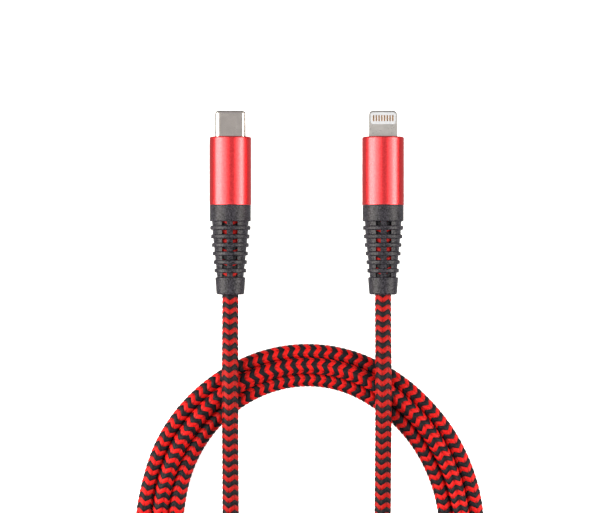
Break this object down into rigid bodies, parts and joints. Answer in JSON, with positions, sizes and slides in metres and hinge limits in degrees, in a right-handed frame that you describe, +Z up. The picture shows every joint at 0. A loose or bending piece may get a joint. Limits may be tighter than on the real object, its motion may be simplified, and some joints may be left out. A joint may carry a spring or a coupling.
{
  "type": "braided charging cable",
  "caption": "Charging cable with a zigzag braided cord, coiled flat, with ribbed boots and round metal sleeves carrying a type-C plug and a flat eight-contact plug.",
  "frame": {"origin": "on the table, midway between the two plugs' axes, halfway between the tips of the plugs and the tails of the boots", "axes": "+Z up from the table, +Y the way both plugs point, +X from the type-C plug towards the eight-contact plug"},
  "size_m": [0.0924, 0.1556, 0.0113],
  "materials": {
    "plug_steel": "satin nickel plate",
    "black_plastic": "matte black moulding",
    "gold_plating": "gold plated spring copper",
    "spring_steel": "bright stainless",
    "tab_steel": "satin nickel plate",
    "white_plastic": "satin white moulding",
    "circuit_board": "green solder mask",
    "chip_plastic": "matte black",
    "can_steel": "folded tin-plated sheet",
    "red_wire": "insulated copper",
    "black_wire": "insulated copper",
    "green_wire": "insulated copper",
    "white_wire": "insulated copper",
    "red_aluminium": "satin red anodised, bead blasted",
    "boot_rubber": "matte black soft plastic",
    "braid": "red and black nylon zigzag braid"
  },
  "bodies": {
    "cord": {"cord_type_c_lead": "braid", "cord_coil": "braid", "cord_eight_pin_lead": "braid"},
    "type_c_end": {"type_c_shell": "plug_steel", "type_c_housing": "black_plastic", "type_c_upper_contacts": "gold_plating", "type_c_lower_contacts": "gold_plating", "type_c_latch_springs": "spring_steel", "type_c_ground_springs": "spring_steel", "type_c_board": "circuit_board", "type_c_board_parts": "chip_plastic", "type_c_upper_can": "can_steel", "type_c_lower_can": "can_steel", "type_c_inner_mould": "black_plastic", "type_c_ferrule": "can_steel", "type_c_power_wire": "red_wire", "type_c_ground_wire": "black_wire", "type_c_data_plus_wire": "green_wire", "type_c_data_minus_wire": "white_wire", "type_c_sleeve": "red_aluminium", "type_c_boot": "boot_rubber", "type_c_cord_tail": "braid"},
    "eight_pin_end": {"eight_pin_tab": "tab_steel", "eight_pin_insert": "white_plastic", "eight_pin_upper_contacts": "gold_plating", "eight_pin_lower_contacts": "gold_plating", "eight_pin_board": "circuit_board", "eight_pin_board_parts": "chip_plastic", "eight_pin_upper_can": "can_steel", "eight_pin_lower_can": "can_steel", "eight_pin_inner_mould": "black_plastic", "eight_pin_ferrule": "can_steel", "eight_pin_power_wire": "red_wire", "eight_pin_ground_wire": "black_wire", "eight_pin_data_plus_wire": "green_wire", "eight_pin_data_minus_wire": "white_wire", "eight_pin_sleeve": "red_aluminium", "eight_pin_boot": "boot_rubber", "eight_pin_cord_tail": "braid"}
  },
  "joints": [
    {"name": "type_c_boot_flex", "type": "hinge", "parent": "cord", "child": "type_c_end", "pos_m": [-0.02065, -0.0126, 0.00565], "axis": [0, 0, 1], "range_deg": [-20, 45], "stiffness_Nm_per_rad": 0.02, "deforming": ["type_c_boot", "type_c_cord_tail"]},
    {"name": "eight_pin_boot_flex", "type": "hinge", "parent": "cord", "child": "eight_pin_end", "pos_m": [0.02065, -0.0126, 0.00565], "axis": [0, 0, -1], "range_deg": [-20, 45], "stiffness_Nm_per_rad": 0.02, "deforming": ["eight_pin_boot", "eight_pin_cord_tail"]}
  ]
}
